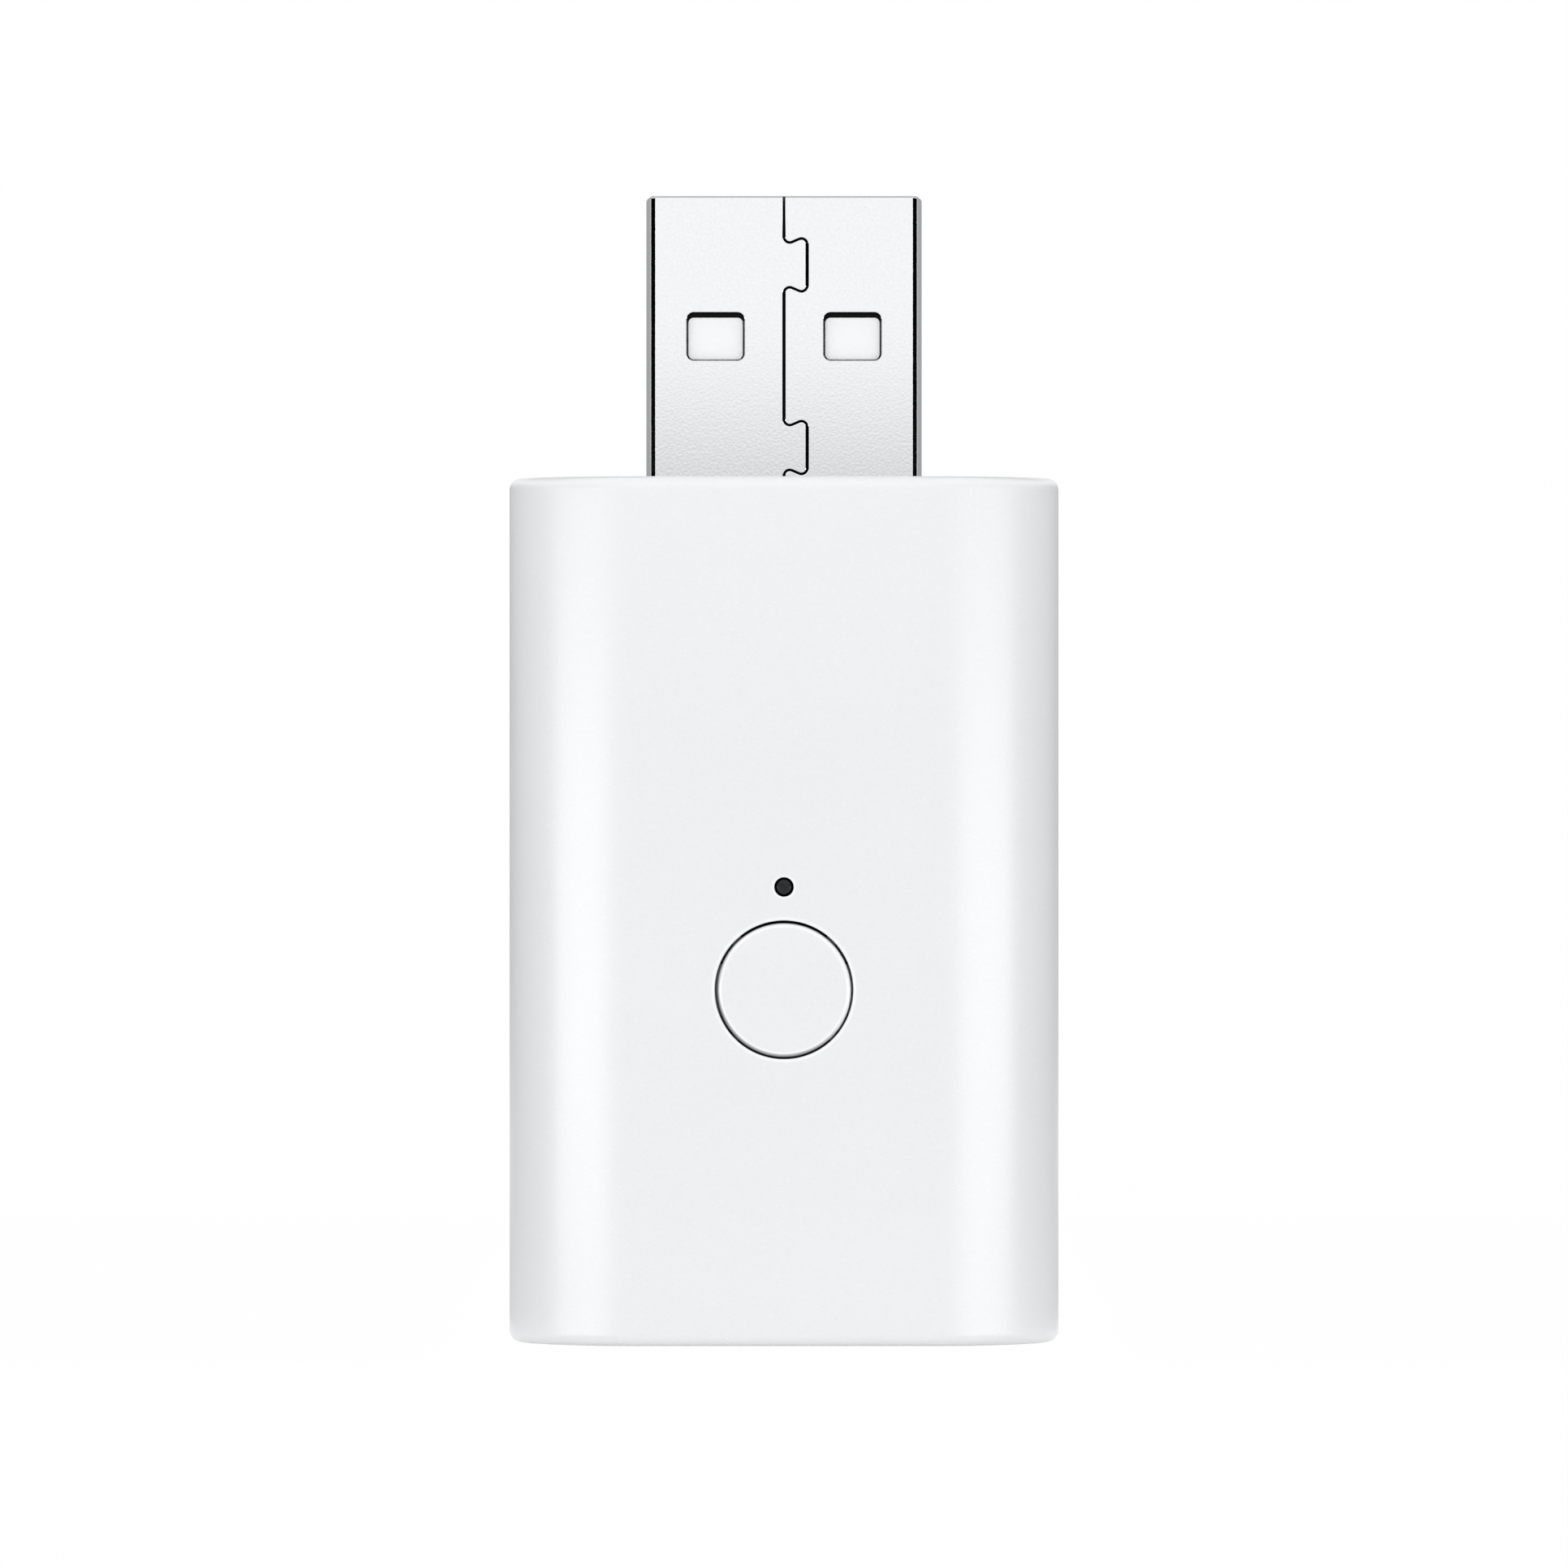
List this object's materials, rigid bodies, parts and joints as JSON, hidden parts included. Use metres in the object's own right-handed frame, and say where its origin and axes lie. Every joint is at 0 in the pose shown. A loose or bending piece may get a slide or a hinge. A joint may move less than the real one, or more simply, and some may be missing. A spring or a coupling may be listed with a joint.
{
  "type": "usb signal repeater",
  "caption": "White plug-in signal repeater: flat oval housing with a round push button, a status light and a steel A-type plug.",
  "frame": {"origin": "middle of the flat bottom end face", "axes": "+Z along the plug, out of its mouth; -Y out of the front face with the button; +X to the right of somebody who looks at the front"},
  "size_m": [0.024, 0.01, 0.0499],
  "materials": {
    "housing_white": "fine satin texture, moulded",
    "plug_steel": "nickel plated, satin",
    "insulator_white": "smooth moulded",
    "contact_gilt": "gilt, polished",
    "board_green": "solder resist",
    "smoked_lens": "smoked, polished",
    "clear_lens": "clear resin",
    "spring_steel": "cold rolled",
    "tinned_metal": "tinned",
    "black_plastic": "moulded",
    "ceramic_white": "fired, unglazed",
    "ceramic_tan": "fired, unglazed"
  },
  "bodies": {
    "housing": {"front_shell": "housing_white", "rear_shell": "housing_white", "usb_shell": "plug_steel", "usb_insulator": "insulator_white", "usb_contact_power": "contact_gilt", "usb_contact_data_minus": "contact_gilt", "usb_contact_data_plus": "contact_gilt", "usb_contact_ground": "contact_gilt", "main_board": "board_green", "light_pipe": "smoked_lens", "status_led": "clear_lens", "switch_dome": "spring_steel", "switch_base": "black_plastic", "switch_cover": "spring_steel", "switch_terminals": "tinned_metal", "radio_board": "board_green", "radio_shield": "tinned_metal", "radio_chip": "black_plastic", "radio_crystal": "tinned_metal", "radio_antenna": "ceramic_white", "voltage_regulator": "black_plastic", "surge_diode": "black_plastic", "power_fuse": "board_green", "board_capacitors": "ceramic_tan", "board_resistors": "black_plastic"},
    "button": {"button_cap": "housing_white"},
    "plunger": {"switch_stem": "black_plastic"}
  },
  "joints": [
    {"name": "button_press", "type": "slide", "parent": "housing", "child": "button", "axis": [0, 1, 0], "range_m": [0, 0.00025], "stiffness_N_per_m": 2000},
    {"name": "plunger_press", "type": "slide", "parent": "housing", "child": "plunger", "axis": [0, 1, 0], "range_m": [0, 0.00025], "deforming": ["switch_dome"]}
  ],
  "couplings": [
    {"joint": "plunger_press", "follows": "button_press", "ratio": 1}
  ]
}
